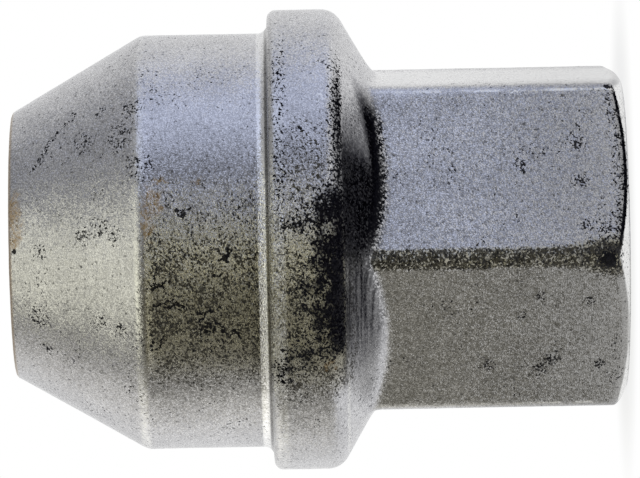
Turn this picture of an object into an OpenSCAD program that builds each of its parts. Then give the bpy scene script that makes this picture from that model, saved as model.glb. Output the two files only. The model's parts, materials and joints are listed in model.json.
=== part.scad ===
// Flanged wheel lug nut: a hex to turn it, a flange, a round shank and a conical seat, forged and
// turned in one piece, with a stud hole right through. It stands on its hex end, cone upwards.
// Sizes are in millimetres. The origin is the middle of the hex end, and +Z runs along the stud.

/* [Hex] */
// Width of the hex across its flats
hex_flats = 21; // [18:0.5:24]
// Length of the flats, from the end face to the flange's taper at the middle of a flat
hex_length = 16; // [12:0.5:24]
// Rounding of the six long corners
hex_corner_radius = 1; // [0.3:0.1:2]
// How far the flat end face stops short of the flats
end_bevel_inset = 0.5; // [0.2:0.1:1.5]
// Slope of the bevelled end corners, measured from the end face
end_bevel_angle = 22; // [15:1:35]

/* [Flange] */
// How far the flange stands out from the shank
flange_step = 1.5; // [1:0.1:3]
// Width of the flange's round rim
flange_width = 4.4; // [3:0.1:8]
// Slope of the taper behind the rim, measured from the flange's face
taper_angle = 30; // [20:1:40]
// Rounding of the rim towards the seat
rim_seat_radius = 0.6; // [0.2:0.1:1]
// Rounding of the rim towards the hex
rim_hex_radius = 1.5; // [0.3:0.1:2]
// Rounding in the corner between the taper and the flats
taper_blend_radius = 1.2; // [0.3:0.1:1.5]

/* [Shank and seat] */
// Diameter of the shank
shank_d = 27; // [25:0.5:32]
// Length of the shank, from the flange to the cone's edge
shank_length = 8.2; // [4:0.2:16]
// Rounding in the corner between the shank and the flange
shank_fillet_radius = 0.6; // [0.2:0.1:1]
// Angle of the conical seat across the axis
seat_angle = 60; // [50:1:90]
// Rounding of the edge between the cone and the shank
seat_edge_radius = 1.2; // [0.3:0.1:3]
// Wall left around the thread at the cone's tip
tip_wall = 1.6; // [1.2:0.1:3]
// Rounding of the tip's rim
tip_edge_radius = 0.45; // [0.1:0.05:0.8]

/* [Stud hole] */
// Outer diameter of the wheel stud's thread
thread_d = 14; // [12:1:16]
// Pitch of the thread
thread_pitch = 1.5; // [1:0.25:2]
// How far the countersunk mouths open out past the thread
mouth_play = 0.35; // [0.1:0.05:0.7]
// Angle of the countersunk mouths across the axis
mouth_angle = 90; // [60:5:120]

/* [Hidden] */
$fn = 96;

// Margin by which a cutting solid runs past the face that it cuts
cut_margin = 1;
// A metric inside thread's bore is the thread's diameter less this many pitches
bore_per_pitch = 1.0825;
// Largest share of the flange's step that one rounding may take
step_share = 0.48;
// How far the foot of the taper's blend lies inside the flats
blend_sink = 0.06;

hex_sides = 6;
hex_side_angle = 360 / hex_sides;
flat_r = hex_flats / 2;
corner_r = flat_r / cos(hex_side_angle / 2);
corner_centre_r = corner_r - hex_corner_radius / cos(hex_side_angle / 2);
end_face_r = flat_r - end_bevel_inset;

shank_r = shank_d / 2;
flange_r = shank_r + flange_step;
bore_r = (thread_d - bore_per_pitch * thread_pitch) / 2;
mouth_r = thread_d / 2 + mouth_play;
mouth_depth = (mouth_r - bore_r) / tan(mouth_angle / 2);
tip_r = thread_d / 2 + tip_wall;

taper_length = (flange_r - flat_r) * tan(taper_angle);
seat_length = (shank_r - tip_r) / tan(seat_angle / 2);
flange_low_z = hex_length + taper_length;
flange_top_z = flange_low_z + flange_width;
seat_edge_z = flange_top_z + shank_length;
tip_z = seat_edge_z + seat_length;

blend_foot_r = flat_r - blend_sink;
blend_foot_z = hex_length - blend_sink * tan(taper_angle);

// Corners of the turned half-section, from the axis inside the hex round to the axis at the tip:
// distance from the axis, height, and rounding.
turned_corners = [
    [0, hex_length / 2, 0],
    [blend_foot_r, hex_length / 2, 0],
    [blend_foot_r, blend_foot_z, taper_blend_radius],
    [flange_r, flange_low_z, min(rim_hex_radius, flange_width / 2)],
    [flange_r, flange_top_z, min(rim_seat_radius, step_share * flange_step)],
    [shank_r, flange_top_z, min(shank_fillet_radius, step_share * flange_step)],
    [shank_r, seat_edge_z, seat_edge_radius],
    [tip_r, tip_z, tip_edge_radius],
    [0, tip_z, 0],
];

function unit(v) = v / norm(v);
function place(corners, i) = [for (axis = [0, 1]) corners[(i + len(corners)) % len(corners)][axis]];
function back_way(corners, i) = unit(place(corners, i - 1) - place(corners, i));
function on_way(corners, i) = unit(place(corners, i + 1) - place(corners, i));
function half_angle(corners, i) = acos(back_way(corners, i) * on_way(corners, i)) / 2;
function tangent_run(corners, i) = corners[i][2] / tan(half_angle(corners, i));
function arc_centre(corners, i) =
    place(corners, i)
    + unit(back_way(corners, i) + on_way(corners, i)) * corners[i][2] / sin(half_angle(corners, i));
function stands_out(corners, i) = cross(back_way(corners, i), on_way(corners, i)) < 0;
function corner_points(corners, i) =
    corners[i][2] == 0
    ? [place(corners, i)]
    : [for (way = [back_way(corners, i), on_way(corners, i)])
        place(corners, i) + way * tangent_run(corners, i)];

// Round discs at the rounded corners, either those that stand out or those that lie in a hollow
module corner_discs(corners, outward) {
    for (i = [0 : len(corners) - 1])
        if (corners[i][2] > 0 && stands_out(corners, i) == outward)
            translate(arc_centre(corners, i)) circle(r = corners[i][2]);
}

// Flat outline with each corner rounded by an arc that runs smoothly into both sides
module rounded_outline(corners) {
    difference() {
        union() {
            polygon([for (i = [0 : len(corners) - 1]) each corner_points(corners, i)]);
            corner_discs(corners, true);
        }
        corner_discs(corners, false);
    }
}

// Round part of the nut: the taper, the flange, the shank and the cone
module turned_body() {
    rotate_extrude() rounded_outline(turned_corners);
}

// Hexagon across the stud, with two corners on the Y axis
module hexagon() {
    rounded_outline([
        for (i = [0 : hex_sides - 1])
            let (angle = 90 + i * hex_side_angle)
            [corner_r * cos(angle), corner_r * sin(angle), hex_corner_radius]
    ]);
}

// Hex with its end corners bevelled all round, reaching up into the flange
module forged_hex() {
    hex_top_z = flange_low_z + flange_width / 2;
    bevel_reach = corner_r + cut_margin - end_face_r;
    intersection() {
        linear_extrude(height = hex_top_z) hexagon();
        rotate_extrude() polygon([
            [0, 0],
            [end_face_r, 0],
            [end_face_r + bevel_reach, bevel_reach * tan(end_bevel_angle)],
            [end_face_r + bevel_reach, hex_top_z + cut_margin],
            [0, hex_top_z + cut_margin],
        ]);
    }
}

// Countersunk mouth that narrows upwards from the face at height 0
module countersink() {
    mouth_slope = tan(mouth_angle / 2);
    translate([0, 0, -cut_margin])
        cylinder(h = cut_margin + mouth_depth, r1 = mouth_r + cut_margin * mouth_slope, r2 = bore_r);
}

// Stud hole through the nut, at the thread's inner diameter, countersunk at both ends
module stud_hole() {
    translate([0, 0, -cut_margin]) cylinder(h = tip_z + 2 * cut_margin, r = bore_r);
    countersink();
    translate([0, 0, tip_z]) mirror([0, 0, 1]) countersink();
}

module lug_nut() {
    color("#8c8d92")
    difference() {
        union() {
            turned_body();
            forged_hex();
        }
        stud_hole();
    }
}

lug_nut();
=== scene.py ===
import json
import math

import bpy
import bmesh
from mathutils import Matrix, Vector


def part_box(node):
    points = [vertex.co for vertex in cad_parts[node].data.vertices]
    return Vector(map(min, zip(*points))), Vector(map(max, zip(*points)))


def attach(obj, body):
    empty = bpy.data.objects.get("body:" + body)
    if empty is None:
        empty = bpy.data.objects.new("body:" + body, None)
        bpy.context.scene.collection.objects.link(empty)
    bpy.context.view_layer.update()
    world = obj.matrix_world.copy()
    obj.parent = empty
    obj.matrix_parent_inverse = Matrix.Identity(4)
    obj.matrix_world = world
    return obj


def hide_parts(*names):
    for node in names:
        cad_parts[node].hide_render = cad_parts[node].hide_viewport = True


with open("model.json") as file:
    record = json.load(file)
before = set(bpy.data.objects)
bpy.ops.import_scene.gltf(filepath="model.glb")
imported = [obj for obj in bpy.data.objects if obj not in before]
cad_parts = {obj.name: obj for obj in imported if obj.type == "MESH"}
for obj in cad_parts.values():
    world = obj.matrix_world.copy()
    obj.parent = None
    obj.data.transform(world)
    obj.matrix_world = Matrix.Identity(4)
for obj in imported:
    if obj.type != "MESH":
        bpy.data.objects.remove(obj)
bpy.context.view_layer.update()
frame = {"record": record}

bl_info = {
    "name": "Wheel Lug Nut",
    "version": (1, 0, 0),
    "blender": (4, 5, 0),
    "location": "View3D > Sidebar > Lug Nut",
    "description": "Builds a flanged wheel lug nut with its thread, worn grey coating and studio",
    "category": "Object",
}

MM = 0.001
HEX_SIDES = 6
NODE = "lug_nut"
SLOT = "grey_coated_steel"
WHITE = (1.0, 1.0, 1.0, 1.0)
# Zones of the nut's half-section
TURNED, HEX, THREAD = 0.0, 1.0, 2.0
# Mesh points closer than this become one point, and edges shorter than this are dissolved
MERGE_DISTANCE = 0.002 * MM
SHORTEST_EDGE = 0.0005 * MM

NUT_LOW, NUT_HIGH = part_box(NODE)
STUD_MOUNT = next(m for m in frame["record"]["mounts"] if m["name"] == "stud_thread")


def length(name, description, default):
    """A size in metres that shows in the sidebar as a length."""
    return bpy.props.FloatProperty(
        name=name, description=description, default=default, unit="LENGTH", subtype="DISTANCE", precision=5
    )


def angle(name, description, degrees):
    """An angle, given here in degrees."""
    return bpy.props.FloatProperty(
        name=name, description=description, default=math.radians(degrees), unit="ROTATION", subtype="ANGLE"
    )


def share(name, description, default):
    """A plain number."""
    return bpy.props.FloatProperty(name=name, description=description, default=default)


def colour(name, description, default):
    """A linear colour."""
    return bpy.props.FloatVectorProperty(
        name=name, description=description, default=default, size=3, subtype="COLOR", min=0.0, max=1.0
    )


def place(name, description, default):
    """A place in metres."""
    return bpy.props.FloatVectorProperty(
        name=name, description=description, default=default, size=3, unit="LENGTH", subtype="TRANSLATION"
    )


def extent(name, description, default):
    """A width and a height in metres."""
    return bpy.props.FloatVectorProperty(
        name=name, description=description, default=default, size=2, unit="LENGTH"
    )


class NutSizes(bpy.types.PropertyGroup):
    """Sizes of the nut, from its hex end at height 0 to the cone's tip."""

    total_length: length("Length", "From the hex end to the cone's tip", NUT_HIGH[2] - NUT_LOW[2])
    flange_d: length("Flange", "Diameter of the flange", NUT_HIGH[0] - NUT_LOW[0])
    bore_r: length("Bore Radius", "Inner radius of the thread", STUD_MOUNT["dims"]["r_mm"] * MM)
    hex_flats: length("Across Flats", "Width of the hex across its flats", 21 * MM)
    hex_length: length("Hex Length", "From the hex end to the taper, at the middle of a flat", 16 * MM)
    corner_radius: length("Corner Radius", "Rounding of the hex's long corners", 1.0 * MM)
    bevel_inset: length("Bevel Inset", "How far the end face stops short of the flats", 0.5 * MM)
    bevel_angle: angle("Bevel Angle", "Slope of the bevelled end corners", 22)
    bevel_softness: length("Bevel Softness", "Rounding of the bevel's edge", 1.1 * MM)
    taper_angle: angle("Taper Angle", "Slope of the taper behind the flange", 30)
    taper_blend: length("Taper Blend", "Rounding between the taper and the hex", 1.8 * MM)
    flange_step: length("Flange Step", "How far the flange stands out from the shank", 1.5 * MM)
    flange_width: length("Flange Width", "Width of the flange's rim", 4.4 * MM)
    rim_hex_radius: length("Rim Radius, Hex Side", "Rounding of the rim towards the hex", 1.5 * MM)
    rim_seat_radius: length("Rim Radius, Seat Side", "Rounding of the rim towards the seat", 0.6 * MM)
    shank_length: length("Shank Length", "From the flange to the cone's edge", 8.2 * MM)
    shank_fillet: length("Shank Fillet", "Rounding between the shank and the flange", 0.6 * MM)
    seat_edge_radius: length("Seat Edge Radius", "Rounding between the cone and the shank", 1.2 * MM)
    tip_wall: length("Tip Wall", "Wall around the thread at the cone's tip", 1.6 * MM)
    tip_radius: length("Tip Radius", "Rounding of the tip's rim", 0.45 * MM)
    thread_d: length("Thread", "Outer diameter of the thread", 14 * MM)
    pitch: length("Pitch", "Pitch of the thread", 1.5 * MM)
    mouth_play: length("Mouth Play", "How far the countersinks open past the thread", 0.35 * MM)
    mouth_angle: angle("Mouth Angle", "Angle of the countersinks across the axis", 90)
    unevenness: length("Unevenness", "Deepest hollow of the forged skin", 0.05 * MM)
    columns_per_side: bpy.props.IntProperty(
        name="Columns Per Side", description="Mesh columns along each side of the hex", default=39
    )
    seed: bpy.props.IntProperty(name="Seed", description="Start of the random unevenness", default=7)


class NutFinish(bpy.types.PropertyGroup):
    """Colours and grain of the coating and of what marks it, and of the shade and highlights painted on it.
    """

    coating: colour("Coating", "Grey coating", (0.685, 0.685, 0.70))
    # Dark scale, and also the colour of painted shade towards the hex end, in the pits and on the taper
    scale: colour("Dark Scale", "Dark scale left in the corners", (0.006, 0.006, 0.008))
    scale_gloss: colour("Scale Gloss", "Shine of the dark scale seen edge on", (0.20, 0.20, 0.27))
    # Dirt, and also the colour of painted shade on the rims' dark side, the near hex corner and the crease at
    # the flange
    grime_and_shade: colour("Grime", "Oily grime between the grains", (0.036, 0.031, 0.019))
    gap: colour("Gaps", "Shade between the grains", (0.085, 0.085, 0.10))
    # Colour of painted brownish shade on the rims' dark side, the near hex corner and the lower flat
    olive_shade: colour("Olive Film", "Oily film on the rough sides", (0.49, 0.457, 0.305))
    rust: colour("Rust", "Rust stains", (0.36, 0.22, 0.065))
    # Also the colour of the painted glints on the rough sides' brightest grains
    bright: colour("Bright Metal", "Metal rubbed bright on the edges", (0.74, 0.74, 0.72))
    # Also the colour of the painted highlight at the shank's foot
    bare: colour("Bare Metal", "Bare metal on the end bevel and the side flats", (0.92, 0.92, 0.91))
    dullness: share("Dullness", "Brightness of the coating's dull clouds, as a share of its own", 0.88)
    roughness: share("Roughness", "Roughness of the clean coating", 0.22)
    roughness_spread: share("Roughness Spread", "How far the roughness varies in all", 0.08)
    soil_roughness: share("Soil Roughness", "Roughness that grime, rust and scale add", 0.18)
    soil_metallic: share("Soil Metallic", "Share of metal's shine left under grime and rust", 0.35)
    grain_mm: share("Grain", "Width of the coating's grains in millimetres", 0.11)
    grain_depth_mm: share("Grain Depth", "Depth of the coating's grains in millimetres", 0.012)
    pit_mm: share("Pits", "Width of the dark pits on the rough sides in millimetres", 0.125)
    pit_depth: share("Pit Depth", "Depth of those pits, in depths of a grain", 5.0)
    grain_tilt: share("Grain Tilt", "How far the grains lean to all sides", 0.24)
    rough_tilt: share("Rough Tilt", "How much further they lean on the rough sides", 0.60)


class StudioLight(bpy.types.PropertyGroup):
    """Light, floor and camera."""

    floor_tone: colour("Floor", "Colour of the floor", (0.86, 0.86, 0.86))
    floor_radius: length("Floor Radius", "Radius of the round floor", 52 * MM)
    shadow_inner: length("Shadow Core", "Radius within which the floor's shadow is full", 8 * MM)
    shadow_outer: length("Shadow Reach", "Radius at which the floor is white again", 19 * MM)
    shadow_white: share("Shadow White", "Share of white in the full shadow", 0.74)
    right_wall: colour("Right Wall", "Surroundings on the right of the nut", (0.65, 0.705, 0.90))
    left_wall: colour("Left Wall", "Surroundings on the left of the nut", (0.97, 0.945, 0.87))
    dark_wall: colour("Dark Wall", "Surroundings that the nut faces", (0.11, 0.103, 0.082))
    high_wall: colour("High Wall", "Surroundings towards the ceiling", (0.77, 0.76, 0.73))
    dark_bearing: angle("Dark Bearing", "Direction of the room's dark corner, from +X", -123)
    dim_bearing: angle("Dim Bearing", "Direction of the room's dim corner, from +X", -72)
    right_place: place("Right Lamp Place", "Middle of the right lamp", (0.475, -0.155, 0.10))
    right_size: extent("Right Lamp Size", "Width and height of the right lamp", (0.40, 0.40))
    right_brightness: share("Right Lamp Brightness", "How bright it looks, where white is 1", 0.35)
    right_tint: colour("Right Lamp Tint", "Tint of the right lamp", (0.72, 0.80, 1.0))
    left_place: place("Left Lamp Place", "Middle of the left lamp", (-0.45, 0.21, 0.25))
    left_size: extent("Left Lamp Size", "Width and height of the left lamp", (0.40, 0.40))
    left_brightness: share("Left Lamp Brightness", "How bright it looks, where white is 1", 0.35)
    left_tint: colour("Left Lamp Tint", "Tint of the left lamp", (1.0, 0.97, 0.91))
    top_place: place("Top Lamp Place", "Middle of the lamp over the nut", (-0.07, -0.265, 0.44))
    top_size: extent("Top Lamp Size", "Width and height of the lamp over the nut", (0.56, 0.42))
    top_brightness: share("Top Lamp Brightness", "How bright it looks, where white is 1", 0.84)
    top_tint: colour("Top Lamp Tint", "Tint of the lamp over the nut", (1.0, 0.99, 0.80))
    camera_distance: length("Camera Distance", "From the camera to the nut's axis", 391 * MM)
    camera_bearing: angle("Camera Bearing", "Direction of the camera round the nut, from +X", -83)
    camera_roll: angle("Camera Roll", "How far the nut's axis climbs to the right in the picture", 1.08)
    pixels_per_mm: share("Scale", "Pixels of the 640 pixel wide picture to a millimetre on the axis", 15.33)
    aim_height: length("Aim Height", "Height on the nut's axis at the middle of the picture", 19.76 * MM)


class Graph:
    """Adds nodes to a tree and links them, so that a rule reads like a formula."""

    def __init__(self, tree):
        self.tree = tree

    def add(self, kind, **settings):
        node = self.tree.nodes.new(kind)
        for name, value in settings.items():
            setattr(node, name, value)
        return node

    def feed(self, socket, value):
        if isinstance(value, bpy.types.NodeSocket):
            self.tree.links.new(value, socket)
        elif value is not None:
            socket.default_value = value

    def math(self, operation, *values):
        node = self.add("ShaderNodeMath", operation=operation)
        for socket, value in zip(node.inputs, values):
            self.feed(socket, value)
        return node.outputs[0]

    def chain(self, operation, values):
        """One operation over several values in turn."""
        result = values[0]
        for value in values[1:]:
            result = self.math(operation, result, value)
        return result

    def plus(self, *values):
        return self.chain("ADD", values)

    def times(self, *values):
        return self.chain("MULTIPLY", values)

    def most(self, *values):
        """The highest of several values, such as the strongest of several masks."""
        return self.chain("MAXIMUM", values)

    def minus(self, a, b):
        return self.math("SUBTRACT", a, b)

    def over(self, a, b):
        return self.math("DIVIDE", a, b)

    def clamp(self, value, low=0.0, high=1.0):
        return self.math("MINIMUM", self.math("MAXIMUM", value, low), high)

    def choose(self, pick, if_low, if_high):
        """if_low where pick is 0 and if_high where it is 1."""
        return self.plus(if_low, self.times(pick, self.minus(if_high, if_low)))

    def ramp(self, value, start, end, low=0.0, high=1.0):
        """Smooth step from low at start to high at end."""
        node = self.add("ShaderNodeMapRange", interpolation_type="SMOOTHSTEP")
        for socket, number in zip(node.inputs, (value, start, end, low, high)):
            self.feed(socket, number)
        return node.outputs[0]

    def vector(self, x, y, z):
        node = self.add("ShaderNodeCombineXYZ")
        for socket, value in zip(node.inputs, (x, y, z)):
            self.feed(socket, value)
        return node.outputs[0]

    def vector_math(self, operation, a, b=None, scale=None):
        node = self.add("ShaderNodeVectorMath", operation=operation)
        for index, value in enumerate((a, b, None, scale)):
            self.feed(node.inputs[index], value)
        number = operation in ("LENGTH", "DISTANCE", "DOT_PRODUCT")
        return node.outputs["Value" if number else "Vector"]

    def parts(self, vector):
        node = self.add("ShaderNodeSeparateXYZ")
        self.feed(node.inputs[0], vector)
        return node.outputs

    def noise(self, vector, scale, detail=2.0, roughness=0.5):
        node = self.add("ShaderNodeTexNoise")
        self.feed(node.inputs["Vector"], vector)
        self.feed(node.inputs["Scale"], scale)
        self.feed(node.inputs["Detail"], detail)
        self.feed(node.inputs["Roughness"], roughness)
        return node.outputs[0]

    def cells(self, vector, scale):
        """Distance from the middle of each grain, and three random numbers for each whole grain."""
        node = self.add("ShaderNodeTexVoronoi", feature="F1")
        self.feed(node.inputs["Vector"], vector)
        self.feed(node.inputs["Scale"], scale)
        return node.outputs["Distance"], node.outputs["Color"]

    def mix(self, share_of_b, a, b):
        """Colour a turning into colour b."""
        node = self.add("ShaderNodeMix", data_type="RGBA")
        colours = [s for s in node.inputs if s.type == "RGBA"]
        self.feed(node.inputs[0], share_of_b)
        self.feed(colours[0], a)
        self.feed(colours[1], b)
        return next(s for s in node.outputs if s.type == "RGBA")


def opaque(tint):
    """A colour with full alpha, as node sockets take it."""
    return (tint[0], tint[1], tint[2], 1.0)


def fresh_graph(owner):
    """An empty node graph in a material or a world."""
    owner.use_nodes = True
    owner.node_tree.nodes.clear()
    return Graph(owner.node_tree)


def level_way(bearing):
    """Level direction at a bearing from +X."""
    return Vector((math.cos(bearing), math.sin(bearing), 0.0))


# Half-section of the nut

def rounded(corners, spacing, arc_steps):
    """Points along an open outline of (radius, height, rounding), with arcs at its rounded corners."""
    points = []
    for i, (r, z, rounding) in enumerate(corners):
        here = Vector((r, z))
        if rounding == 0.0:
            stops = [here]
        else:
            back = (Vector(corners[i - 1][:2]) - here).normalized()
            onward = (Vector(corners[i + 1][:2]) - here).normalized()
            half = back.angle(onward) / 2
            centre = here + (back + onward).normalized() * rounding / math.sin(half)
            first = here + back * rounding / math.tan(half) - centre
            last = here + onward * rounding / math.tan(half) - centre
            turn = first.angle_signed(last)
            stops = [
                centre + Matrix.Rotation(-turn * step / arc_steps, 2) @ first
                for step in range(arc_steps + 1)
            ]
        if points:
            points += between(points[-1], stops[0], spacing)
        points += stops
    return points


def between(start, end, spacing):
    """Points that divide a straight stretch, without its ends."""
    steps = max(1, round((end - start).length / spacing))
    return [start.lerp(end, step / steps) for step in range(1, steps)]


class Form:
    """Main radii and heights of the nut, worked out from its sizes, in metres or in another unit."""

    def __init__(self, sizes, unit=1.0):
        self.flange_r = sizes.flange_d / 2 / unit
        self.shank_r = self.flange_r - sizes.flange_step / unit
        self.flat_r = sizes.hex_flats / 2 / unit
        self.corner_radius = sizes.corner_radius / unit
        self.end_face_r = self.flat_r - sizes.bevel_inset / unit
        self.mouth_r = (sizes.thread_d / 2 + sizes.mouth_play) / unit
        self.tip_r = (sizes.thread_d / 2 + sizes.tip_wall) / unit
        self.taper_slope = math.tan(sizes.taper_angle)
        self.bevel_slope = math.tan(sizes.bevel_angle)
        self.hex_top = sizes.hex_length / unit
        self.flange_low = self.hex_top + (self.flange_r - self.flat_r) * self.taper_slope
        self.flange_top = self.flange_low + sizes.flange_width / unit
        self.seat_edge = self.flange_top + sizes.shank_length / unit
        self.tip = sizes.total_length / unit

    def skin_radius(self, turn, height):
        """Distance of the nut's skin from its axis, at a bearing and a height."""
        half_side = math.pi / HEX_SIDES
        if height < self.hex_top:
            off_flat = (turn + half_side) % (2 * half_side) - half_side
            corner_r = (self.flat_r - self.corner_radius) / math.cos(half_side) + self.corner_radius
            return min(self.flat_r / math.cos(off_flat), corner_r)
        if height < self.flange_top:
            return self.flange_r
        cone_slope = (self.shank_r - self.tip_r) / (self.tip - self.seat_edge)
        return min(self.shank_r, self.tip_r + (self.tip - height) * cone_slope)


def hex_heights(top, hex_top):
    """Heights of the mesh rows up the hex, closer together at the bevel and at the taper."""
    bevel_end = 1.3 * MM
    taper_start = hex_top - 1.0 * MM
    stretches = (
        (0.0, bevel_end, 0.09 * MM),
        (bevel_end, taper_start, 0.22 * MM),
        (taper_start, top, 0.10 * MM),
    )
    heights = []
    for start, end, spacing in stretches:
        steps = max(1, round((end - start) / spacing))
        heights += [start + (end - start) * step / steps for step in range(steps)]
    return heights


def thread_rows(sizes):
    """Rows of the thread as (radius, height), from above the tip down past the hex end."""
    # Shares of the pitch that the crest, each flank and the root take
    crest, flank, root = 0.25, 0.3125, 0.125
    outer = sizes.thread_d / 2
    middle = (outer + sizes.bore_r) / 2
    stations = [
        (0.0, sizes.bore_r),
        (crest, sizes.bore_r),
        (crest + flank / 2, middle),
        (crest + flank, outer),
        (crest + flank + root, outer),
        (1.0 - flank / 2, middle),
    ]
    turns = math.ceil(sizes.total_length / sizes.pitch) + 1
    rows = []
    for turn in range(-1, turns + 1):
        rows += [(radius, (turn + climb) * sizes.pitch) for climb, radius in stations]
    return rows[::-1]


def nut_section(sizes):
    """Rows of the nut's half-section as (radius, height, zone)."""
    form = Form(sizes)
    spacing = 0.30 * MM
    end_ring = [Vector((form.mouth_r, 0.0))]
    end_ring += between(end_ring[0], Vector((form.end_face_r, 0.0)), spacing)
    turned = rounded(
        [
            (form.flat_r, form.hex_top, 0.0),
            (form.flange_r, form.flange_low, sizes.rim_hex_radius),
            (form.flange_r, form.flange_top, sizes.rim_seat_radius),
            (form.shank_r, form.flange_top, sizes.shank_fillet),
            (form.shank_r, form.seat_edge, sizes.seat_edge_radius),
            (form.tip_r, form.tip, sizes.tip_radius),
            (form.mouth_r, form.tip, 0.0),
        ],
        spacing,
        arc_steps=8,
    )
    # The hex zone makes the taper, up to where the rim's rounding starts
    rim_run = sizes.rim_hex_radius * math.tan(math.pi / 4 - sizes.taper_angle / 2)
    rim_start = form.flange_low - rim_run * math.sin(sizes.taper_angle)
    tolerance = 0.01 * MM
    turned = [p for p in turned if p.y > rim_start - tolerance]
    rows = [(p.x, p.y, TURNED) for p in end_ring]
    rows += [(form.end_face_r, z, HEX) for z in hex_heights(turned[0].y, form.hex_top)]
    rows += [(p.x, p.y, TURNED) for p in turned]
    rows += [(radius, z, THREAD) for radius, z in thread_rows(sizes)]
    return rows


# Geometry nodes

def new_tree(name, inputs):
    """A geometry node tree with one geometry in and out and the named inputs."""
    tree = bpy.data.node_groups.new(name, "GeometryNodeTree")
    tree.interface.new_socket("Geometry", in_out="INPUT", socket_type="NodeSocketGeometry")
    tree.interface.new_socket("Geometry", in_out="OUTPUT", socket_type="NodeSocketGeometry")
    for label, kind in inputs.items():
        tree.interface.new_socket(label, in_out="INPUT", socket_type=kind)
    return tree


def nut_inputs(sizes, rows, material):
    """Named inputs of the nut's tree, as label: (socket type, value)."""
    form = Form(sizes)
    number, whole = "NodeSocketFloat", "NodeSocketInt"
    return {
        "Rows": (whole, rows),
        "Columns Per Side": (whole, sizes.columns_per_side),
        "Flat Radius": (number, form.flat_r),
        "Corner Radius": (number, sizes.corner_radius),
        "End Face Radius": (number, form.end_face_r),
        "Bevel Slope": (number, form.bevel_slope),
        "Bevel Softness": (number, sizes.bevel_softness),
        "Flange Radius": (number, form.flange_r),
        "Flange Height": (number, form.flange_low),
        "Taper Slope": (number, form.taper_slope),
        "Taper Blend": (number, sizes.taper_blend),
        "Pitch": (number, sizes.pitch),
        "Mouth Radius": (number, form.mouth_r),
        "Mouth Slope": (number, math.tan(sizes.mouth_angle / 2)),
        "Length": (number, form.tip),
        "Unevenness": (number, sizes.unevenness),
        "Seed": (whole, sizes.seed),
        "Material": ("NodeSocketMaterial", material),
    }


def hex_radius(g, size, local):
    """Radius of the rounded hexagon at an angle from the middle of a flat."""
    half_side = math.pi / HEX_SIDES
    inner_r = g.minus(size["Flat Radius"], size["Corner Radius"])
    centre_r = g.over(inner_r, math.cos(half_side))
    flat_end = g.math("ARCTANGENT", g.over(g.times(inner_r, math.tan(half_side)), size["Flat Radius"]))
    off_middle = g.math("ABSOLUTE", local)
    off_corner = g.minus(half_side, off_middle)
    on_flat = g.over(size["Flat Radius"], g.math("COSINE", local))
    across = g.times(centre_r, g.math("SINE", off_corner))
    reach = g.minus(g.times(size["Corner Radius"], size["Corner Radius"]), g.times(across, across))
    on_arc = g.plus(
        g.times(centre_r, g.math("COSINE", off_corner)),
        g.math("SQRT", g.most(reach, 0.0)),
    )
    return g.choose(g.math("GREATER_THAN", off_middle, flat_end), on_flat, on_arc)


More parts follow.
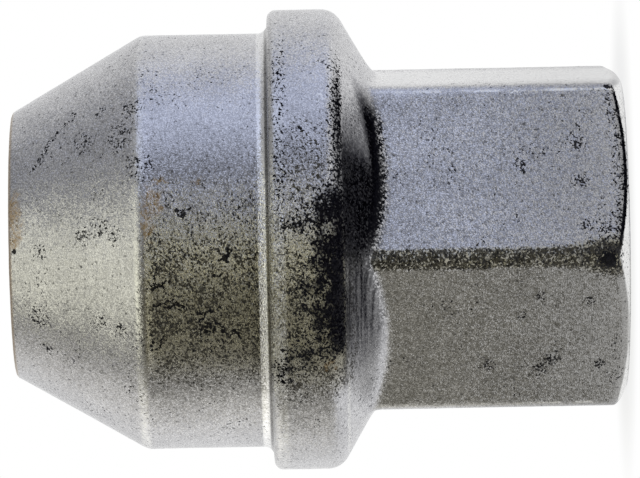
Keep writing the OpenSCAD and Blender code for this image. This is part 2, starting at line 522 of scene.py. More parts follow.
def nut_tree(inputs):
    """Turns a half-section into the nut: hexagon below the flange, round above it, helix in the bore."""
    tree = new_tree("nut_rule", {label: kind for label, (kind, _) in inputs.items()})
    g = Graph(tree)
    size = g.add("NodeGroupInput").outputs
    half_side = math.pi / HEX_SIDES
    # How far the mesh columns crowd towards the hex corners
    crowding = 0.8

    grid = g.add("GeometryNodeMeshGrid")
    columns = g.plus(g.times(size["Columns Per Side"], HEX_SIDES), 1)
    g.feed(grid.inputs["Vertices X"], columns)
    g.feed(grid.inputs["Vertices Y"], size["Rows"])
    index = g.add("GeometryNodeInputIndex").outputs[0]
    column = g.math("FLOOR", g.over(g.plus(index, 0.5), size["Rows"]))
    row = g.minus(index, g.times(column, size["Rows"]))

    side = g.math("FLOOR", g.over(g.plus(column, 0.5), size["Columns Per Side"]))
    along = g.minus(g.times(g.minus(g.over(column, size["Columns Per Side"]), side), 2.0), 1.0)
    crowded = g.math("SINE", g.times(along, math.pi / 2))
    local = g.times(g.choose(crowding, along, crowded), half_side)
    bearing = g.plus(g.times(side, 2 * half_side), local)

    sampled = g.add("GeometryNodeSampleIndex", data_type="FLOAT_VECTOR", domain="POINT")
    g.feed(sampled.inputs["Geometry"], size["Geometry"])
    g.feed(sampled.inputs["Value"], g.add("GeometryNodeInputPosition").outputs[0])
    g.feed(sampled.inputs["Index"], row)
    row_r, zone, row_z = g.parts(sampled.outputs[0])
    in_hex = g.math("COMPARE", zone, HEX, 0.5)
    in_thread = g.math("COMPARE", zone, THREAD, 0.5)

    taper_run = g.over(g.minus(size["Flange Height"], row_z), size["Taper Slope"])
    taper_r = g.minus(size["Flange Radius"], taper_run)
    shoulder_r = g.math("SMOOTH_MAX", hex_radius(g, size, local), taper_r, size["Taper Blend"])
    bevel_r = g.plus(size["End Face Radius"], g.over(row_z, size["Bevel Slope"]))
    outer_r = g.math("SMOOTH_MIN", shoulder_r, bevel_r, size["Bevel Softness"])

    climb = g.times(g.over(bearing, 2 * math.pi), size["Pitch"])
    helix_z = g.clamp(g.plus(row_z, climb), 0.0, size["Length"])
    to_mouth = g.math("MINIMUM", helix_z, g.minus(size["Length"], helix_z))
    sink_r = g.minus(size["Mouth Radius"], g.times(to_mouth, size["Mouth Slope"]))
    thread_r = g.most(row_r, sink_r)

    radius = g.choose(in_thread, g.choose(in_hex, row_r, outer_r), thread_r)
    height = g.choose(in_thread, row_z, helix_z)
    position = g.vector(
        g.times(radius, g.math("COSINE", bearing)),
        g.times(radius, g.math("SINE", bearing)),
        height,
    )
    shaped = g.add("GeometryNodeSetPosition")
    g.feed(shaped.inputs["Geometry"], grid.outputs["Mesh"])
    g.feed(shaped.inputs["Position"], position)
    closed = g.add("GeometryNodeMergeByDistance")
    g.feed(closed.inputs["Geometry"], shaped.outputs[0])
    g.feed(closed.inputs["Distance"], MERGE_DISTANCE)

    spot = g.vector_math("SCALE", g.add("GeometryNodeInputPosition").outputs[0], scale=1 / MM)
    seeded = g.vector_math("ADD", spot, g.vector(size["Seed"], 0.0, 0.0))
    # Broad and fine hollows, in waves to the millimetre, and the share of the depth that the broad ones have
    broad_waves, fine_waves, broad_share = 0.22, 1.3, 0.65
    broad = g.noise(seeded, broad_waves, detail=2.0)
    fine = g.noise(seeded, fine_waves, detail=1.0)
    hollow = g.plus(g.times(broad, broad_share), g.times(fine, 1.0 - broad_share))
    push = g.times(hollow, -1.0, size["Unevenness"])
    uneven = g.add("GeometryNodeSetPosition")
    g.feed(uneven.inputs["Geometry"], closed.outputs[0])
    normal = g.add("GeometryNodeInputNormal").outputs[0]
    g.feed(uneven.inputs["Offset"], g.vector_math("SCALE", normal, scale=push))

    smooth = g.add("GeometryNodeSetShadeSmooth")
    g.feed(smooth.inputs["Geometry"], uneven.outputs[0])
    real = g.add("GeometryNodeRealizeInstances")
    g.feed(real.inputs["Geometry"], smooth.outputs[0])
    finished = g.add("GeometryNodeSetMaterial")
    g.feed(finished.inputs["Geometry"], real.outputs[0])
    g.feed(finished.inputs["Material"], size["Material"])
    g.feed(g.add("NodeGroupOutput").inputs[0], finished.outputs[0])
    return tree


def shaped_by(tree, inputs, start_mesh, name):
    """A plain mesh object with the tree's result on start_mesh."""
    maker = bpy.data.objects.new(name + "_maker", start_mesh)
    bpy.context.scene.collection.objects.link(maker)
    modifier = maker.modifiers.new("rule", "NODES")
    modifier.node_group = tree
    for item in tree.interface.items_tree:
        if item.in_out == "INPUT" and item.name in inputs:
            modifier[item.identifier] = inputs[item.name][1]
    graph = bpy.context.evaluated_depsgraph_get()
    mesh = bpy.data.meshes.new_from_object(maker.evaluated_get(graph))
    bpy.data.objects.remove(maker)
    mesh.name = name
    piece = bpy.data.objects.new(name, mesh)
    bpy.context.scene.collection.objects.link(piece)
    return piece


def face_outwards(mesh):
    """Turns all faces outwards and raises if the mesh isn't closed."""
    shell = bmesh.new()
    shell.from_mesh(mesh)
    bmesh.ops.dissolve_degenerate(shell, dist=SHORTEST_EDGE, edges=shell.edges)
    bmesh.ops.recalc_face_normals(shell, faces=shell.faces)
    open_edges = sum(1 for edge in shell.edges if not edge.is_manifold)
    volume = shell.calc_volume(signed=True)
    shell.to_mesh(mesh)
    shell.free()
    if open_edges or volume <= 0.0:
        raise RuntimeError(f"the nut's mesh has {open_edges} open edges and a volume of {volume}")


# Finish

class Skin:
    """Measures of a point on the nut's skin in millimetres, for the rules of its finish."""

    # How strokes sway, in waves to the millimetre and in millimetres
    SWAY_WAVES, SWAY_WIDTH = 1.5, 2.0
    # Share of a blot's radius and of a stroke's half-width that is at full strength
    BLOT_CORE, STROKE_CORE = 0.25, 0.3

    def __init__(self, g, sizes):
        self.g = g
        form = Form(sizes, MM)
        self.form = form
        self.spot = g.vector_math("SCALE", g.add("ShaderNodeTexCoord").outputs["Object"], scale=1 / MM)
        x, y, self.z = g.parts(self.spot)
        sway = g.minus(g.noise(self.spot, self.SWAY_WAVES, detail=1.0), 0.5)
        bob = g.minus(g.noise(self.moved(9.0, 4.0, 1.0), self.SWAY_WAVES, detail=1.0), 0.5)
        shift = g.vector_math("SCALE", g.vector(sway, 0.0, bob), scale=self.SWAY_WIDTH)
        self.swayed = g.vector_math("ADD", self.spot, shift)
        self.radius = g.vector_math("LENGTH", g.vector(x, y, 0.0))
        self.outside = g.ramp(self.radius, form.tip_r - 0.6, form.tip_r + 0.9)
        self.bearing = g.math("ARCTAN2", y, x)
        side = 2 * math.pi / HEX_SIDES
        turns = g.math("FLOOR", g.plus(g.over(self.bearing, side), 0.5))
        off_flat = g.minus(self.bearing, g.times(turns, side))
        self.off_middle = g.math("ABSOLUTE", off_flat)
        hex_r = g.over(form.flat_r, g.math("COSINE", off_flat))
        self.past_hex = g.minus(self.radius, hex_r)
        joint_z = g.plus(form.hex_top, g.times(g.minus(hex_r, form.flat_r), form.taper_slope))
        self.past_joint = g.minus(self.z, joint_z)
        bevel_z = g.times(g.minus(hex_r, form.end_face_r), form.bevel_slope)
        self.past_bevel = g.minus(self.z, bevel_z)

    def moved(self, x, y, z):
        """The point moved aside, so that a noise read there is another one."""
        return self.g.vector_math("ADD", self.spot, (x, y, z))

    def side(self, degrees):
        """1 on the side of the nut at that bearing, falling to -1 on the far side."""
        g = self.g
        return g.math("COSINE", g.minus(self.bearing, math.radians(degrees)))

    def both_sides(self, degrees, inner, outer):
        """1 within inner degrees of that bearing or of the far side, 0 past outer degrees and in the bore."""
        g = self.g
        turned = g.math("ABSOLUTE", self.side(degrees))
        facing = g.ramp(turned, math.cos(math.radians(outer)), math.cos(math.radians(inner)))
        return g.times(facing, self.outside)

    def band(self, value, low, high, soft):
        """1 between low and high, with soft edges outside them."""
        g = self.g
        return g.times(g.ramp(value, low - soft, low), g.ramp(value, high + soft, high))

    def place(self, bearing, height):
        """Place on the skin, at a bearing in degrees and a height in millimetres."""
        turn = math.radians(bearing)
        return level_way(turn) * self.form.skin_radius(turn, height) + Vector((0.0, 0.0, height))

    def blot(self, bearing, height, radius):
        """1 at a place on the skin, falling to 0 at radius."""
        g = self.g
        away = g.vector_math("DISTANCE", self.spot, tuple(self.place(bearing, height)))
        return g.ramp(away, radius, radius * self.BLOT_CORE)

    def stroke(self, start, end, half_width):
        """1 along a line that sways from start to end, falling to 0 at half_width."""
        g = self.g
        first = self.place(*start)
        along = self.place(*end) - first
        from_start = g.vector_math("SUBTRACT", self.swayed, tuple(first))
        reach = g.clamp(g.vector_math("DOT_PRODUCT", from_start, tuple(along / along.length_squared)))
        nearest = g.vector_math("SCALE", tuple(along), scale=reach)
        away = g.vector_math("DISTANCE", from_start, nearest)
        return g.ramp(away, half_width, half_width * self.STROKE_CORE)

    def blots(self, marks):
        """Several blots in one mask."""
        return self.g.most(*[self.blot(*mark) for mark in marks])

    def strokes(self, marks):
        """Several strokes in one mask."""
        return self.g.most(*[self.stroke(*mark) for mark in marks])


class Grain:
    """Random patterns that break up the finish, with their scales in waves to the millimetre."""

    # How far the grains are bent out of line, in millimetres, and how the pits are drawn out round the nut
    BEND = 0.25
    PIT_STRETCH = (0.75, 0.75, 1.2)

    def __init__(self, g, skin, finish):
        wander = g.noise(skin.spot, 2.2, detail=1.0)
        self.fine = g.noise(skin.spot, 14.0, detail=1.0)
        bend = g.vector_math("SCALE", g.vector(wander, self.fine, wander), scale=self.BEND)
        bent = g.vector_math("ADD", skin.spot, bend)
        self.dome, self.dice = g.cells(bent, 1.0 / finish.grain_mm)
        self.tone = g.parts(self.dice)[0]
        drawn_out = g.vector_math("MULTIPLY", bent, self.PIT_STRETCH)
        self.pit_dome, self.pit_dice = g.cells(drawn_out, 1.0 / finish.pit_mm)
        self.pit_tone = g.parts(self.pit_dice)[1]
        self.cloud = g.noise(skin.spot, 0.30, detail=2.0, roughness=0.6)
        self.cluster = g.noise(skin.moved(11.0, 3.0, 17.0), 0.30, detail=3.0, roughness=0.65)
        self.blotch = g.noise(skin.moved(2.0, 19.0, 5.0), 0.75, detail=3.0, roughness=0.7)


# Regions on two opposite sides of the nut, in degrees: the bearing of the middle, how far round the region
# is at its full strength, and how far round it has faded out

ROUGH_SIDE = (-95.0, 16.0, 35.0)
GRIMY_SHADED_SIDE = (-102.5, 7.0, 28.0)
GRIMY_SHADED_FLANGE = (-84.0, 16.0, 36.0)
DEEP_SHADE_SIDE = (-107.0, 3.0, 20.0)
OLIVE_SHADE_SIDE = (-99.0, 6.0, 27.0)
HAZY_SHADE_SIDE = (-66.0, 8.0, 26.0)
NEAR_CORNER = (-90.0, 5.0, 12.0)
LOW_FOOT = (-60.0, 24.0, 34.0)
TAPER_NOOK_SHADE = (-61.0, 18.0, 34.0)
TAPER_SMEAR_SHADE = (-74.0, 8.0, 26.5)
TAPER_SHADE_FILM = (-86.0, 12.0, 46.0)
RIM_SCALE = (-91.0, 14.0, 29.0)
RIM_REACH = (-97.0, 10.0, 34.0)
RIM_FRINGE = (-70.0, 16.0, 46.0)
RIM_SHADE_LINE = (-52.0, 18.0, 34.0)
END_SCALE = (-60.0, 26.0, 31.0)
WORN_FLATS = (0.0, 12.0, 30.0)

# Bearings of the sides where edges are rubbed bright and carry painted highlights, and where the lower flat
# lies

HIGHLIGHT_SIDE = -110.0
TAPER_EDGE_SIDE = -125.0
LOWER_FLAT = -120.0

# Marks on the skin: bearing in degrees, height and radius in millimetres

SPECK_CLUSTERS = (
    (-51, 32.4, 1.5),
    (-43, 31.6, 1.2),
    (-49, 34.7, 1.1),
    (-78, 33.7, 1.0),
    (-81, 34.8, 0.9),
    (-81, 32.7, 0.8),
    (-86, 37.6, 0.8),
    (-111, 37.8, 1.2),
    (-108, 33.8, 0.8),
    (-109, 32.6, 0.8),
    (-124, 37.4, 0.6),
    (-39, 33.6, 0.6),
    (-62, 31.1, 1.4),
    (-95, 30.1, 0.8),
    (-80, 2.9, 0.6),
    (-82, 1.3, 1.1),
    (-50, 3.2, 0.6),
    (-58, 6.9, 0.7),
    (-64, 3.1, 0.8),
    (-91, 1.2, 1.5),
    (-104, 5.8, 0.5),
    (-106, 2.7, 0.6),
    (-112, 7.0, 0.5),
    (-133, 9.2, 0.8),
    (-135, 5.8, 0.8),
    (-131, 5.0, 0.7),
    (-133, 2.0, 0.6),
    (-113, 19.7, 0.9),
    (-78, 20.0, 1.3),
    (-75, 20.9, 0.9),
    (-108, 27.4, 0.9),
    (-112, 26.5, 0.9),
)
BLACK_SPOTS = (
    (-31, 1.2, 0.34),
    (-91, 1.5, 0.7),
    (-86, 39.3, 0.28),
)

# Strokes on the skin: where they start and end, by bearing and height, and half their width

STREAKS = (
    ((-51, 37.8), (-34, 35.2), 0.32),
    ((-71, 33.2), (-75, 32.8), 0.16),
    ((-38, 3.1), (-50, 3.3), 0.20),
    ((-85, 9.6), (-76, 7.0), 0.18),
    ((-54.5, 21.8), (-55, 18.7), 0.20),
    ((-93, 30.2), (-96, 29.5), 0.22),
    ((-99, 29.9), (-101, 28.2), 0.20),
)
CRACKS = (
    ((-74.5, 28.8), (-74.5, 28.4), 0.26),
    ((-95.5, 30.4), (-94.5, 29.6), 0.26),
    ((-93, 26.4), (-91.5, 26.2), 0.28),
    ((-87.5, 25.9), (-87, 25.5), 0.26),
    ((-100, 30.2), (-102, 28.0), 0.22),
    ((-104.5, 27.4), (-102, 26.4), 0.24),
    ((-105, 27.3), (-109, 27.3), 0.22),
    ((-106.5, 26.7), (-109.5, 25.0), 0.26),
    ((-110, 29.9), (-113, 30.1), 0.26),
    ((-115.5, 28.7), (-119, 28.9), 0.18),
    ((-81, 22.1), (-77.5, 20.0), 0.30),
)
CRACKLE = (
    ((-117, 22.2), (-104, 18.6), 1.5),
    ((-79.5, 21.6), (-81.5, 19.5), 0.8),
)
RUST_STAINS = (
    ((-70.5, 30.5), (-74.5, 30.4), 0.75),
    ((-75.5, 30.5), (-82, 30.6), 0.45),
    ((-63, 39.3), (-82, 39.3), 0.65),
    ((-65.5, 29.9), (-66, 29.4), 0.30),
    ((-66.5, 27.5), (-66.5, 27.2), 0.35),
    ((-115.5, 19.4), (-115.5, 19.2), 0.45),
    ((109.5, 29.6), (119, 29.9), 1.2),
    ((145.5, 23.6), (139.5, 23.4), 0.8),
)
NICKS = (
    ((-31.7, 7.0), (-31.7, 6.3), 0.13),
    ((-31.6, 2.6), (-31.6, 1.9), 0.08),
    ((-32.1, 9.7), (-32.1, 9.3), 0.10),
    ((-44, 19.7), (-47, 19.5), 0.16),
    ((-47.5, 24.6), (-46.5, 24.0), 0.12),
)


def broken_by(g, dark_share, tone):
    """Whole grains that turn dark, as many as dark_share says."""
    return g.ramp(g.minus(dark_share, tone), -0.05, 0.07)


def grime_and_shade_share(g, skin, grain):
    """Shares of darkened grains: partly dirt and partly painted shade on two sides of the shank and flange,
    and painted shade on the near hex corner.
    """
    form = skin.form
    on_rims = g.most(
        skin.band(skin.z, form.flange_top + 1.0, form.seat_edge - 0.8, 0.5),
        skin.band(skin.z, form.flange_low - 0.8, form.flange_top - 1.1, 0.5),
    )
    on_flange = skin.band(skin.z, form.flange_low - 0.8, form.flange_top - 0.6, 0.4)
    dirty = g.most(
        g.times(skin.both_sides(*GRIMY_SHADED_SIDE), on_rims),
        g.times(skin.both_sides(*GRIMY_SHADED_FLANGE), on_flange, 0.7),
    )
    patchy = g.times(dirty, g.ramp(grain.blotch, 0.36, 0.62, 0.16, 0.60))
    # Painted shade along the near hex corner
    corner_start = g.ramp(skin.z, 5.0, 0.5, math.radians(26.0), math.radians(20.5))
    corner = g.times(
        g.ramp(skin.off_middle, corner_start, math.radians(27.8)),
        skin.both_sides(*NEAR_CORNER),
        g.ramp(skin.past_joint, -0.25, -0.45),
        g.ramp(skin.past_bevel, -0.15, 0.05),
    )
    crowded = g.plus(g.ramp(grain.blotch, 0.35, 0.62, 0.50, 0.72), g.ramp(skin.z, 4.0, 1.2, 0.0, 0.28))
    return patchy, g.times(corner, crowded)


def taper_scale_and_shade_share(g, skin, grain):
    """Share of black on the taper, partly scale and partly painted shade, thickest in the corner over a flat
    and thin where it was smeared.
    """
    form = skin.form
    foot = g.choose(skin.both_sides(*LOW_FOOT), -0.35, -0.60)
    foot = g.plus(foot, g.times(g.minus(0.5, grain.tone), 0.7))
    over_foot = g.ramp(g.minus(skin.past_joint, foot), -0.15, 0.30)
    under_rim = g.ramp(skin.z, form.flange_low - 0.05, form.flange_low - 0.35)
    rings = g.noise(g.vector(g.times(skin.radius, 3.0), g.times(skin.bearing, 3.0), 0.0), 1.0, detail=2.0)
    # Painted shade with some scale: black in the corner over a flat, in smeared rings and in a thin ringed
    # layer to one side
    nook_shade = g.times(g.ramp(skin.past_hex, 1.8, 0.5, 0.0, 1.12), skin.both_sides(*TAPER_NOOK_SHADE))
    smear_shade = g.times(skin.both_sides(*TAPER_SMEAR_SHADE), g.ramp(rings, 0.25, 0.50, 0.93, 1.03))
    shade_film = g.times(g.ramp(rings, 0.38, 0.64, 0.62, 0.94), skin.both_sides(*TAPER_SHADE_FILM))
    cover = g.plus(g.most(nook_shade, smear_shade, shade_film), g.times(g.minus(0.42, grain.tone), 0.26))
    return g.times(over_foot, under_rim, g.clamp(cover))


def rim_scale_share(g, skin, grain):
    """Share of black scale on the flange's rim: solid beside the taper, and ragged further up, with a line of
    painted shade along its seat side.
    """
    form = skin.form
    spread = skin.both_sides(*RIM_SCALE)
    near = skin.both_sides(*RIM_REACH)
    reach = g.times(near, g.ramp(grain.blotch, 0.30, 0.72, 0.0, 2.1))
    strip = g.plus(form.flange_low - 0.7, g.ramp(spread, 0.0, 0.6))
    ragged = g.ramp(g.minus(skin.z, g.plus(strip, reach)), 2.1, -1.2)
    ragged = g.times(ragged, g.ramp(spread, 0.30, 0.95, 0.0, 0.85))
    limit = g.minus(g.ramp(grain.blotch, 0.35, 0.65, -0.3, 0.7), g.ramp(near, 0.0, 0.6, 0.8, 0.0))
    solid = g.ramp(g.minus(skin.z, limit), form.flange_low + 1.9, form.flange_low)
    solid = g.times(solid, g.ramp(spread, 0.25, 0.95))
    fringe = g.ramp(skin.z, form.flange_low + 0.8, form.flange_low - 0.1, 0.0, 0.74)
    fringe = g.times(skin.both_sides(*RIM_FRINGE), fringe)
    crackle = g.times(skin.strokes(CRACKLE), g.ramp(grain.blotch, 0.38, 0.64, 0.25, 0.72))
    # Painted shade: a dark line along the rim's seat side
    line = skin.band(skin.z, form.flange_top - 1.0, form.flange_top - 0.5, 0.3)
    line = g.times(skin.both_sides(*RIM_SHADE_LINE), line, 0.28)
    on_rim = g.ramp(skin.radius, form.flange_r - 1.0, form.flange_r - 0.4)
    return g.times(g.most(ragged, solid, fringe, crackle, line), on_rim)


def end_scale_share(g, skin, grain):
    """Share of black scale round the hex end: a line along the bevel, and dots above it."""
    line = skin.band(skin.past_bevel, -0.02, 0.10, 0.12)
    line = g.times(line, g.ramp(grain.blotch, 0.30, 0.50, 0.6, 1.0))
    dots = g.ramp(skin.past_bevel, 1.3, 0.1, 0.0, 0.40)
    over_bevel = g.ramp(skin.past_bevel, -0.2, -0.05)
    return g.times(g.most(line, dots), skin.both_sides(*END_SCALE), over_bevel)


def rubbed_and_highlight_share(g, skin, grain):
    """Share of metal rubbed bright on the edges of the cone, flange, taper and hex, and in nicks, with
    painted highlights on the cone, flange and taper edges, brightest on one side.
    """
    form = skin.form
    # Painted highlight: the cone, flange and taper edges are brightest on this side
    highlight_side = g.ramp(skin.side(HIGHLIGHT_SIDE), 0.2, 0.9, 0.25, 1.0)
    worn = g.ramp(g.plus(g.times(grain.tone, 0.4), grain.blotch), 0.45, 0.85, 0.1, 0.9)
    cone_edge = skin.band(skin.z, form.seat_edge - 0.15, form.seat_edge + 0.15, 0.30)
    taper_edge = skin.band(skin.z, form.flange_low - 0.55, form.flange_low - 0.44, 0.07)
    taper_edge = g.times(taper_edge, g.ramp(skin.side(TAPER_EDGE_SIDE), 0.74, 0.87, 0.0, 0.8))
    flange_edge = skin.band(skin.z, form.flange_top - 0.85, form.flange_top - 0.10, 0.30)
    flange_edge = g.times(flange_edge, g.ramp(skin.radius, form.flange_r - 0.8, form.flange_r - 0.2), 0.60)
    edges = g.times(g.most(cone_edge, taper_edge, flange_edge), worn, highlight_side)
    hex_corner = g.times(
        skin.band(skin.off_middle, math.radians(28.1), math.radians(28.6), math.radians(0.3)),
        g.ramp(skin.past_joint, 0.0, -0.4),
        g.ramp(grain.blotch, 0.46, 0.60, 0.0, 0.6),
        g.minus(1.0, skin.both_sides(*NEAR_CORNER)),
    )
    nicks = g.times(skin.strokes(NICKS), g.ramp(grain.tone, 0.2, 0.6, 0.2, 1.0))
    return g.most(edges, hex_corner, nicks)


def rust_share(g, skin, grain):
    """Share of rust: stains at the cone's edge and tip, and a thin line along the tip's rim."""
    form = skin.form
    patchy = g.ramp(g.plus(grain.blotch, g.times(grain.tone, 0.4)), 0.95, 0.45, 0.12, 0.72)
    tip_line = g.times(
        g.ramp(skin.z, form.tip - 0.285, form.tip - 0.065, 0.0, 0.6),
        g.ramp(skin.radius, form.tip_r - 0.7, form.tip_r - 0.4),
    )
    return g.most(g.times(skin.strokes(RUST_STAINS), patchy), tip_line)


def speck_share(g, skin, grain, worn_flats):
    """Share of black grains: a thin sprinkle all over, and the specks, streaks and cracks."""
    form = skin.form
    sprinkle = g.times(g.ramp(grain.cluster, 0.50, 0.80, 0.011, 0.17), g.ramp(worn_flats, 0.1, 0.3, 1.0, 0.0))
    crowding = g.ramp(skin.z, form.hex_top, form.hex_top + 2.0, 0.42, 0.29)
    clusters = g.times(skin.blots(SPECK_CLUSTERS), crowding)
    streaks = g.times(skin.strokes(STREAKS), 0.42)
    spots = g.times(skin.blots(BLACK_SPOTS), 1.2)
    cracks = g.times(skin.strokes(CRACKS), 0.92)
    return g.most(g.plus(sprinkle, clusters, streaks, spots), cracks)


def grain_normal(g, grain, finish, rough_side, pitting):
    """Normal that leans to another side on each grain, with the grains and pits in relief."""
    middle = (0.5, 0.5, 0.5)
    # Share of the rough sides' lean that the grains take, and depth of the fine relief, in grains
    grain_lean, fine_relief = 0.4, 0.4
    lean = g.plus(finish.grain_tilt, g.times(rough_side, finish.rough_tilt * grain_lean))
    tilt = g.vector_math("SCALE", g.vector_math("SUBTRACT", grain.dice, middle), scale=lean)
    pebble = g.vector_math("SUBTRACT", grain.pit_dice, middle)
    pebble = g.vector_math("SCALE", pebble, scale=g.times(rough_side, finish.rough_tilt))
    outward = g.add("ShaderNodeNewGeometry").outputs["Normal"]
    tilted = g.vector_math("ADD", g.vector_math("ADD", outward, tilt), pebble)
    bump = g.add("ShaderNodeBump")
    g.feed(bump.inputs["Strength"], 1.0)
    g.feed(bump.inputs["Distance"], finish.grain_depth_mm * MM)
    relief = g.plus(grain.dome, g.times(grain.pit_dome, pitting))
    g.feed(bump.inputs["Height"], g.minus(g.times(grain.fine, fine_relief), relief))
    g.feed(bump.inputs["Normal"], g.vector_math("NORMALIZE", tilted))
    return bump.outputs[0]


def coated_steel(sizes, finish):
    """Grey coated steel: fine grains, dark specks, scale, rust and rubbed edges, with painted shade between
    the grains, on the dark side and in the corners, and painted highlights on grains and edges.
    """
    material = bpy.data.materials.new(SLOT)
    g = fresh_graph(material)
    skin = Skin(g, sizes)
    grain = Grain(g, skin, finish)
    form = skin.form
    tone, blotch = grain.tone, grain.blotch
    rims_low = form.flange_low - 0.2

    # Rough sides, with their dirt and painted shade, shaded pits, and painted brownish shade
    rough_round = skin.band(skin.z, rims_low, form.seat_edge - 0.6, 0.4)
    rough_round = g.times(skin.both_sides(*ROUGH_SIDE), rough_round)
    grime_and_shade, near_corner_shade = grime_and_shade_share(g, skin, grain)
    rough_side = g.most(rough_round, g.ramp(near_corner_shade, 0.0, 0.4))
    # Grains dark with dirt and with painted shade
    grime_and_shade_grains = broken_by(g, g.most(grime_and_shade, near_corner_shade), tone)
    pitted = g.times(rough_side, g.ramp(blotch, 0.36, 0.62, 0.02, 0.20))
    pitted = g.most(pitted, g.times(near_corner_shade, 0.5))
    # Painted shade in the pits of the rough sides and the near hex corner
    pits = g.times(broken_by(g, pitted, grain.pit_tone), g.ramp(tone, 0.95, 0.7))
    # Painted brownish shade on the rims' dark side and the near hex corner, and a light painted shade on the
    # lower flat
    olive_shade_rims = g.times(skin.both_sides(*OLIVE_SHADE_SIDE), skin.band(skin.z, rims_low, form.seat_edge - 0.4, 0.4))
    lower_flat = g.times(g.ramp(skin.side(LOWER_FLAT), 0.84, 0.90), g.ramp(skin.past_joint, -0.2, -0.8))
    shade_film = g.most(g.times(olive_shade_rims, 0.75), g.times(near_corner_shade, 0.8), g.times(lower_flat, 0.16))
    on_rims = skin.band(skin.z, rims_low, form.seat_edge - 1.0, 0.6)
    # Painted shade: a light darkening of the rims on two sides
    hazy_shade = g.times(skin.both_sides(*HAZY_SHADE_SIDE), on_rims)
    # Painted shade: the darkest middle of the rims' dark side
    deep_shade = g.times(skin.both_sides(*DEEP_SHADE_SIDE), on_rims)

    # Scale, specks, rust and bright metal, with painted shade at the hex end, on the taper and in the crease,
    # and a painted highlight at the shank's foot
    worn_flats = g.times(skin.both_sides(*WORN_FLATS), g.ramp(skin.past_joint, 0.2, -0.4, 0.0, 0.42))
    specks = broken_by(g, speck_share(g, skin, grain, worn_flats), tone)
    edge_scale = g.most(rim_scale_share(g, skin, grain), end_scale_share(g, skin, grain))
    edge_grains = g.most(broken_by(g, edge_scale, tone), g.ramp(edge_scale, 0.2, 1.0, 0.0, 0.92))
    # Black scale and specks, with the taper's painted shade
    scale = g.most(taper_scale_and_shade_share(g, skin, grain), edge_grains, g.times(specks, 0.95))
    rust = rust_share(g, skin, grain)
    on_hex = g.ramp(skin.radius, form.flat_r - 0.3, form.flat_r - 0.05)
    end_shade = g.times(g.ramp(skin.z, form.hex_top - 0.5, 2.0), on_hex)
    past_face = g.ramp(skin.radius, form.end_face_r, form.end_face_r + 0.3)
    end_bevel = g.times(g.ramp(skin.past_bevel, 0.0, -0.15, 0.0, 0.95), past_face)
    # Painted highlight along the rounding at the shank's foot, brighter on one side
    fillet_highlight = g.times(
        skin.band(skin.z, form.flange_top + 0.22, form.flange_top + 0.60, 0.12),
        g.ramp(tone, 0.0, 0.5, 0.85, 1.0),
        g.ramp(skin.side(HIGHLIGHT_SIDE), 0.3, 0.9, 0.45, 1.0),
    )
    # Painted shade in the crease where the shank meets the flange
    groove_shade = skin.band(skin.z, form.flange_top - 0.02, form.flange_top + 0.14, 0.05)

    # Coats from the clean coating outwards: where, how strong and which colour
    # Painted shade between the grains and round each grain's rim, darker on the rough sides
    gap_shade = g.times(g.ramp(tone, 0.42, 0.0), g.plus(0.20, g.times(rough_side, 0.50)))
    coats = (
        (g.most(gap_shade, g.ramp(grain.dome, 0.30, 0.62, 0.0, 0.41)), 1.0, finish.gap),
        # Painted glints on the brightest grains of the rough sides
        (g.times(g.ramp(tone, 0.70, 0.95), rough_round), 0.55, finish.bright),
        (shade_film, 1.0, finish.olive_shade),
        (hazy_shade, 0.10, finish.grime_and_shade),
        (end_shade, 0.31, finish.scale),
        (g.most(worn_flats, end_bevel), 1.0, finish.bare),
        (deep_shade, 0.48, finish.grime_and_shade),
        (near_corner_shade, 0.42, finish.grime_and_shade),
        (grime_and_shade_grains, 0.95, finish.grime_and_shade),
        (pits, 0.92, finish.scale),
        (groove_shade, 0.52, finish.grime_and_shade),
        (rust, 1.0, finish.rust),
        (rubbed_and_highlight_share(g, skin, grain), 1.0, finish.bright),
        (fillet_highlight, 1.0, finish.bare),
        (scale, 1.0, finish.scale),
    )
    dull = [c * finish.dullness for c in finish.coating]
    base = g.mix(g.ramp(grain.cloud, 0.35, 0.70), opaque(dull), opaque(finish.coating))
    for mask, strength, tint in coats:
        base = g.mix(g.times(mask, strength), base, opaque(tint))

    soiled = g.most(grime_and_shade_grains, rust)
    rough = g.plus(
        finish.roughness - finish.roughness_spread / 2,
        g.times(grain.fine, finish.roughness_spread),
        g.times(g.most(soiled, scale), finish.soil_roughness),
    )
    pitting = g.times(rough_round, finish.pit_depth)
    shader = g.add("ShaderNodeBsdfPrincipled")
    g.feed(shader.inputs["Base Color"], base)
    g.feed(shader.inputs["Metallic"], g.ramp(soiled, 0.0, 1.0, 1.0, finish.soil_metallic))
    g.feed(shader.inputs["Specular Tint"], g.mix(scale, WHITE, opaque(finish.scale_gloss)))
    g.feed(shader.inputs["Roughness"], rough)
    g.feed(shader.inputs["Normal"], grain_normal(g, grain, finish, rough_side, pitting))
    g.feed(g.add("ShaderNodeOutputMaterial").inputs["Surface"], shader.outputs[0])
    return material


# Studio

def seen(g):
    """1 for rays from the camera, from gloss and through glass, and 0 for light on the nut."""
    path = g.add("ShaderNodeLightPath").outputs
    return g.most(path["Is Camera Ray"], path["Is Glossy Ray"], path["Is Transmission Ray"])


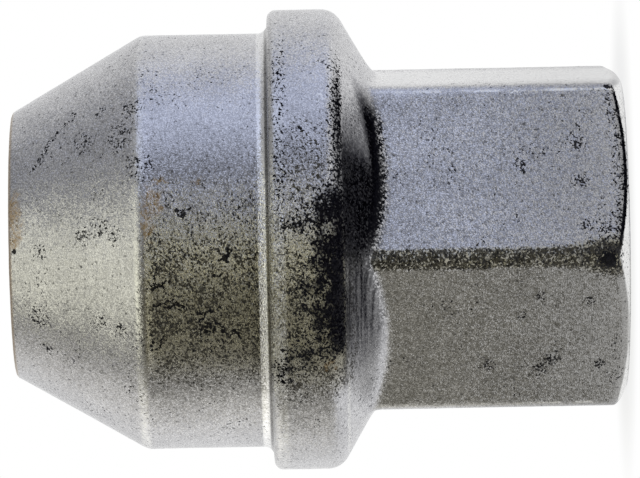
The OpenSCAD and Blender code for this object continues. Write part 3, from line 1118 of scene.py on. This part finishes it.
def floor_material(studio):
    """Pale floor that shows as white to the camera and in the metal, and keeps the nut's shadow."""
    material = bpy.data.materials.new("pale_floor")
    g = fresh_graph(material)
    lit = g.add("ShaderNodeBsdfDiffuse")
    g.feed(lit.inputs["Color"], opaque(studio.floor_tone))
    glow = g.add("ShaderNodeEmission")
    g.feed(glow.inputs["Color"], WHITE)
    g.feed(glow.inputs["Strength"], 1.0)
    from_axis = g.vector_math("LENGTH", g.add("ShaderNodeTexCoord").outputs["Object"])
    white_share = g.ramp(from_axis, studio.shadow_inner, studio.shadow_outer, studio.shadow_white, 1.0)
    blend = g.add("ShaderNodeMixShader")
    g.feed(blend.inputs[0], g.times(seen(g), white_share))
    g.feed(blend.inputs[1], lit.outputs[0])
    g.feed(blend.inputs[2], glow.outputs[0])
    g.feed(g.add("ShaderNodeOutputMaterial").inputs["Surface"], blend.outputs[0])
    return material


def make_floor(studio):
    """A round floor under the nut."""
    mesh = bpy.data.meshes.new("floor")
    disc = bmesh.new()
    bmesh.ops.create_circle(disc, cap_ends=True, segments=96, radius=studio.floor_radius)
    disc.to_mesh(mesh)
    disc.free()
    mesh.materials.append(floor_material(studio))
    floor = bpy.data.objects.new("floor", mesh)
    bpy.context.scene.collection.objects.link(floor)


def make_lamp(aim, name, where, size, brightness, tint):
    """A soft rectangular lamp, as bright to look at as brightness times white."""
    width, height = size
    data = bpy.data.lights.new(name, "AREA")
    data.shape = "RECTANGLE"
    data.size = width
    data.size_y = height
    data.energy = math.pi * width * height * brightness
    data.color = tint
    lamp = bpy.data.objects.new(name, data)
    lamp.location = where
    lamp.rotation_euler = (aim - Vector(where)).to_track_quat("-Z", "Y").to_euler()
    bpy.context.scene.collection.objects.link(lamp)


def make_world(studio):
    """Pale surroundings that turn dark where the nut faces them, and white behind the nut."""
    world = bpy.data.worlds.new("studio")
    bpy.context.scene.world = world
    g = fresh_graph(world)
    way = g.add("ShaderNodeTexCoord").outputs["Generated"]
    x, y, z = g.parts(way)
    towards_dark = g.vector_math("DOT_PRODUCT", way, tuple(level_way(studio.dark_bearing)))
    towards_dim = g.vector_math("DOT_PRODUCT", way, tuple(level_way(studio.dim_bearing)))
    dark_corners = g.most(g.ramp(towards_dark, 0.10, 1.05), g.ramp(towards_dim, 0.48, 0.98, 0.0, 0.72))
    room = g.mix(g.ramp(x, -0.6, 0.6), opaque(studio.left_wall), opaque(studio.right_wall))
    room = g.mix(g.ramp(z, 0.2, 0.7, 0.0, 0.6), room, opaque(studio.high_wall))
    room = g.mix(g.ramp(y, 0.0, 0.8), room, WHITE)
    room = g.mix(g.ramp(z, 0.15, 0.85, 0.0, 0.6), room, opaque(studio.dark_wall))
    room = g.mix(dark_corners, room, opaque(studio.dark_wall))
    camera_ray = g.add("ShaderNodeLightPath").outputs["Is Camera Ray"]
    background = g.add("ShaderNodeBackground")
    g.feed(background.inputs["Color"], g.mix(camera_ray, room, WHITE))
    g.feed(background.inputs["Strength"], 1.0)
    g.feed(g.add("ShaderNodeOutputWorld").inputs["Surface"], background.outputs[0])


def make_camera(studio):
    """A long lens beside the standing nut, rolled so that the nut lies across the picture."""
    picture_width = 640
    sensor_mm = 36.0
    data = bpy.data.cameras.new("camera")
    data.sensor_width = sensor_mm
    data.lens = studio.camera_distance / MM * studio.pixels_per_mm * sensor_mm / picture_width
    data.clip_start = 10 * MM
    camera = bpy.data.objects.new("camera", data)
    back = level_way(studio.camera_bearing)
    along = Vector((0.0, 0.0, -1.0))
    across = back.cross(along)
    right = along * math.cos(studio.camera_roll) - across * math.sin(studio.camera_roll)
    up = along * math.sin(studio.camera_roll) + across * math.cos(studio.camera_roll)
    turn = Matrix((right, up, back)).transposed().to_4x4()
    aim = Vector((0.0, 0.0, studio.aim_height))
    camera.matrix_world = Matrix.Translation(aim + back * studio.camera_distance) @ turn
    bpy.context.scene.collection.objects.link(camera)
    bpy.context.scene.camera = camera


class OBJECT_OT_lug_nut(bpy.types.Operator):
    """Build the lug nut with its thread and coating"""

    bl_idname = "object.lug_nut_add"
    bl_label = "Lug Nut"

    def execute(self, context):
        sizes = context.scene.nut_sizes
        rows = nut_section(sizes)
        section = bpy.data.meshes.new("nut_section")
        section.from_pydata([(r, zone, z) for r, z, zone in rows], [], [])
        material = coated_steel(sizes, context.scene.nut_finish)
        inputs = nut_inputs(sizes, len(rows), material)
        nut = shaped_by(nut_tree(inputs), inputs, section, "lug_nut_body")
        face_outwards(nut.data)
        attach(nut, "root")
        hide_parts(NODE)
        return {"FINISHED"}


class OBJECT_OT_nut_studio(bpy.types.Operator):
    """Set up the floor, the lamps, the surroundings and the camera"""

    bl_idname = "object.lug_nut_studio_add"
    bl_label = "Studio"

    def execute(self, context):
        studio = context.scene.nut_studio
        middle = Vector((0.0, 0.0, studio.aim_height))
        lamps = (
            ("right_lamp", studio.right_place, studio.right_size, studio.right_brightness, studio.right_tint),
            ("left_lamp", studio.left_place, studio.left_size, studio.left_brightness, studio.left_tint),
            ("top_lamp", studio.top_place, studio.top_size, studio.top_brightness, studio.top_tint),
        )
        make_floor(studio)
        make_world(studio)
        for lamp in lamps:
            make_lamp(middle, *lamp)
        make_camera(studio)
        context.scene.view_settings.view_transform = "Standard"
        return {"FINISHED"}


class VIEW3D_PT_lug_nut(bpy.types.Panel):
    """Lists what the add-on builds, with its sizes and colours"""

    bl_label = "Lug Nut"
    bl_space_type = "VIEW_3D"
    bl_region_type = "UI"
    bl_category = "Lug Nut"

    def draw(self, context):
        layout = self.layout
        for operator in OPERATORS:
            layout.operator(operator.bl_idname)
        for group in (context.scene.nut_sizes, context.scene.nut_finish, context.scene.nut_studio):
            box = layout.box()
            for name in group.bl_rna.properties.keys():
                if name not in ("rna_type", "name"):
                    box.prop(group, name)


OPERATORS = (OBJECT_OT_lug_nut, OBJECT_OT_nut_studio)
GROUPS = {"nut_sizes": NutSizes, "nut_finish": NutFinish, "nut_studio": StudioLight}
CLASSES = (*GROUPS.values(), *OPERATORS, VIEW3D_PT_lug_nut)


def register():
    for cls in CLASSES:
        bpy.utils.register_class(cls)
    for name, group in GROUPS.items():
        setattr(bpy.types.Scene, name, bpy.props.PointerProperty(type=group))


def unregister():
    for name in GROUPS:
        delattr(bpy.types.Scene, name)
    for cls in reversed(CLASSES):
        bpy.utils.unregister_class(cls)


def main():
    register()
    bpy.ops.object.lug_nut_add()
    bpy.ops.object.lug_nut_studio_add()


if __name__ == "__main__":
    main()
